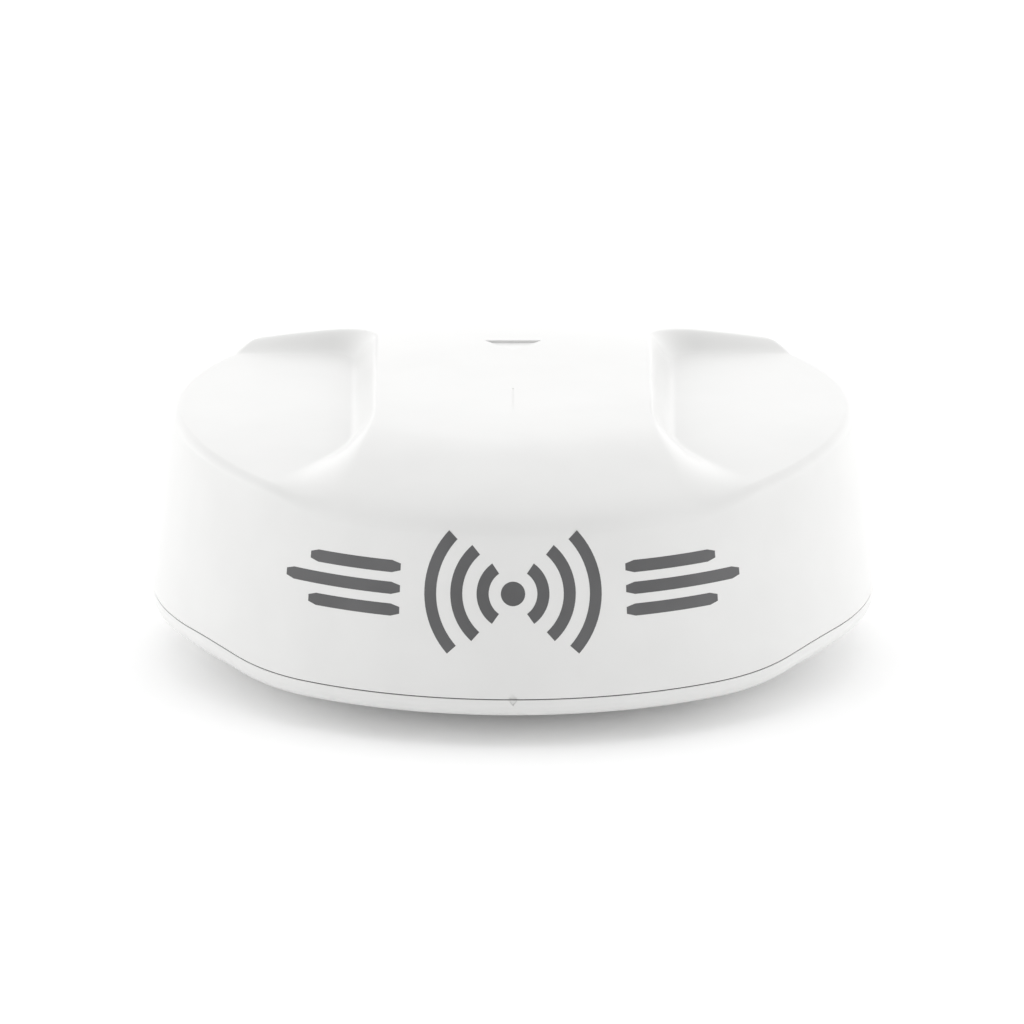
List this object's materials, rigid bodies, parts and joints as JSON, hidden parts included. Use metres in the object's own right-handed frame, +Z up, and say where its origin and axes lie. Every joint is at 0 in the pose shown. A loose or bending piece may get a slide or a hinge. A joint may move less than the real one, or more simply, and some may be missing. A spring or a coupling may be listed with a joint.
{
  "type": "radar dome antenna",
  "caption": "Round two-tier radome on a shallow base with a wavy seam, scooped shoulders and a turning flat array, gear drive and electronics inside.",
  "frame": {"origin": "point on the antenna spin axis at the height of the foot", "axes": "+Z up along the spin axis, -Y towards the front of the dome"},
  "size_m": [0.6454, 0.6454, 0.248],
  "materials": {
    "array_laminate": "microwave laminate",
    "bearing_steel": "ground bearing steel",
    "black_nylon": "moulded black nylon",
    "board_green": "glass epoxy board with green resist",
    "brass_insert": "turned brass",
    "cast_alloy": "die cast aluminium",
    "copper": "etched copper",
    "ferrite_magnet": "sintered magnet",
    "gear_acetal": "moulded acetal",
    "label_grey": "printed polyester label, blank",
    "lead_black": "extruded cable jacket",
    "motor_black": "black enamelled steel",
    "part_black": "moulded epoxy",
    "seal_rubber": "moulded silicone rubber",
    "sheet_alloy": "bent sheet aluminium",
    "stainless": "turned stainless steel",
    "tin_can": "tinned steel sheet",
    "white_asa": "moulded glossy white ASA",
    "zinc_steel": "zinc plated steel"
  },
  "bodies": {
    "base": {"base_housing": "white_asa", "bearing_clip": "zinc_steel", "bearing_outer_rings": "bearing_steel", "bearing_tower": "cast_alloy", "board_screws": "zinc_steel", "board_standoffs": "brass_insert", "bracket_screws": "zinc_steel", "breather_vent": "black_nylon", "cover_screws": "stainless", "cover_washers": "black_nylon", "drive_motor": "motor_black", "ground_screw": "stainless", "heat_sink": "sheet_alloy", "modem_board": "board_green", "modem_parts": "part_black", "motor_bracket": "sheet_alloy", "motor_lead": "lead_black", "motor_screws": "zinc_steel", "mounting_inserts": "stainless", "network_lead": "lead_black", "network_socket": "black_nylon", "power_board": "board_green", "power_lead": "lead_black", "power_parts": "part_black", "power_socket": "black_nylon", "rating_plate": "label_grey", "rf_board": "board_green", "rf_lead": "copper", "rf_parts": "part_black", "rotary_joint_stator": "brass_insert", "seal_ring": "seal_rubber", "shield_can": "tin_can", "socket_nuts": "zinc_steel", "tower_screws": "zinc_steel", "transceiver_case": "cast_alloy", "transceiver_lid": "sheet_alloy", "transceiver_screws": "zinc_steel", "zero_sensor": "part_black"},
    "rotor": {"spindle": "stainless", "spindle_clip": "zinc_steel", "bearing_inner_rings": "bearing_steel", "bearing_balls": "bearing_steel", "drive_gear": "gear_acetal", "zero_magnet": "ferrite_magnet", "antenna_carrier": "cast_alloy", "spindle_nut": "zinc_steel", "antenna_spine": "sheet_alloy", "array_board": "array_laminate", "array_patches": "copper", "array_end_caps": "black_nylon", "carrier_screws": "zinc_steel", "rotary_joint_rotor": "brass_insert", "feed_cable": "copper"},
    "pinion": {"motor_shaft": "bearing_steel", "motor_pinion": "brass_insert"},
    "radome": {"radome_cover": "white_asa", "cover_inserts": "brass_insert"}
  },
  "joints": [
    {"name": "antenna_spin", "type": "hinge", "parent": "base", "child": "rotor", "pos_m": [0, 0, 0.09], "axis": [0, 0, 1], "continuous": true},
    {"name": "pinion_spin", "type": "hinge", "parent": "base", "child": "pinion", "pos_m": [0, 0.072, 0.09], "axis": [0, 0, 1], "continuous": true},
    {"name": "cover_lift", "type": "slide", "parent": "base", "child": "radome", "axis": [0, 0, 1], "range_m": [0, 0.25]}
  ],
  "couplings": [
    {"joint": "pinion_spin", "follows": "antenna_spin", "ratio": -5}
  ]
}
